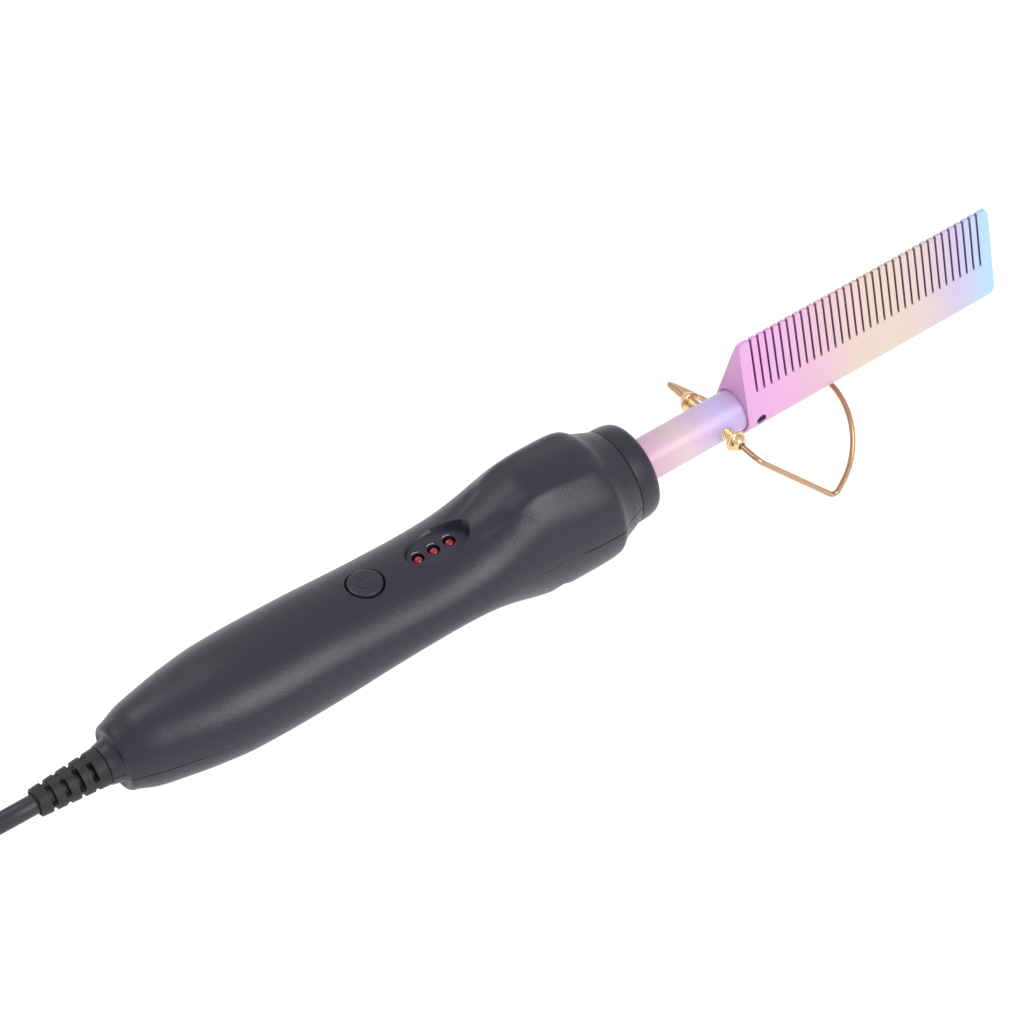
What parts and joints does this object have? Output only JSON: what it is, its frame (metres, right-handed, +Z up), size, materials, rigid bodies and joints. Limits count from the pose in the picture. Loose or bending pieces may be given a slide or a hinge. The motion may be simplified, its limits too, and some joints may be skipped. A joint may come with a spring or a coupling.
{
  "type": "electric hot comb",
  "caption": "Electric hot comb with a moulded handle, power button, three lights, heated metal comb on a barrel tube, swinging wire stand and tied mains cord.",
  "frame": {"origin": "middle of the bottom of the comb as it rests on a table, cord and plug left out", "axes": "+X from the rear end of the handle to the tip of the comb, +Y to the left, +Z up from the table"},
  "size_m": [0.5299, 0.0485, 0.0612],
  "materials": {
    "handle_upper": "satin charcoal",
    "handle_lower": "satin charcoal",
    "button_abs": "satin charcoal",
    "black_plastic": "satin",
    "red_lens": "gloss red",
    "board_green": "solder mask",
    "capacitor_film": "gloss",
    "ceramic": "matt",
    "wire_jacket": "satin",
    "wire_sleeve": "matt",
    "plain_steel": "zinc plated",
    "natural_nylon": "satin",
    "cord_jacket": "satin black",
    "relief_rubber": "matt",
    "tie_rubber": "matt",
    "plug_pvc": "fine matt",
    "pin_nickel": "nickel plated",
    "tube_titanium": "iridescent titanium coat",
    "comb_titanium": "iridescent titanium coat",
    "screw_brass": "polished",
    "wire_gold": "drawn"
  },
  "bodies": {
    "main": {"upper_shell": "handle_upper", "lower_shell": "handle_lower", "shell_screws": "plain_steel", "tact_switch": "black_plastic", "led_low": "red_lens", "led_medium": "red_lens", "led_high": "red_lens", "circuit_board": "board_green", "control_chip": "black_plastic", "triac": "black_plastic", "film_capacitor": "capacitor_film", "dropper_resistor": "ceramic", "fuse_link": "ceramic", "mains_wires": "wire_jacket", "heater_leads": "wire_sleeve", "thermal_fuse": "plain_steel", "cord_clamp": "natural_nylon", "clamp_screws": "plain_steel", "cord_inner": "cord_jacket", "strain_relief": "relief_rubber", "power_cord": "cord_jacket", "cord_hank": "cord_jacket", "hank_tie": "tie_rubber", "plug_body": "plug_pvc", "plug_pins": "pin_nickel", "barrel_tube": "tube_titanium", "tube_bush": "natural_nylon", "retaining_clip": "plain_steel", "heater_core": "ceramic", "comb_head": "comb_titanium", "comb_screw": "plain_steel", "stand_screw_left": "screw_brass", "stand_screw_right": "screw_brass"},
    "button": {"power_button": "button_abs", "switch_plunger": "black_plastic"},
    "stand": {"stand_wire": "wire_gold"}
  },
  "joints": [
    {"name": "button_press", "type": "slide", "parent": "main", "child": "button", "axis": [0.0784, 0, -0.9969], "range_m": [0, 0.0008], "stiffness_N_per_m": 600, "springref_m": -0.0005},
    {"name": "stand_swing", "type": "hinge", "parent": "main", "child": "stand", "pos_m": [0.06088, 0, 0.02736], "axis": [0, 1, 0], "range_deg": [0, 135]}
  ]
}
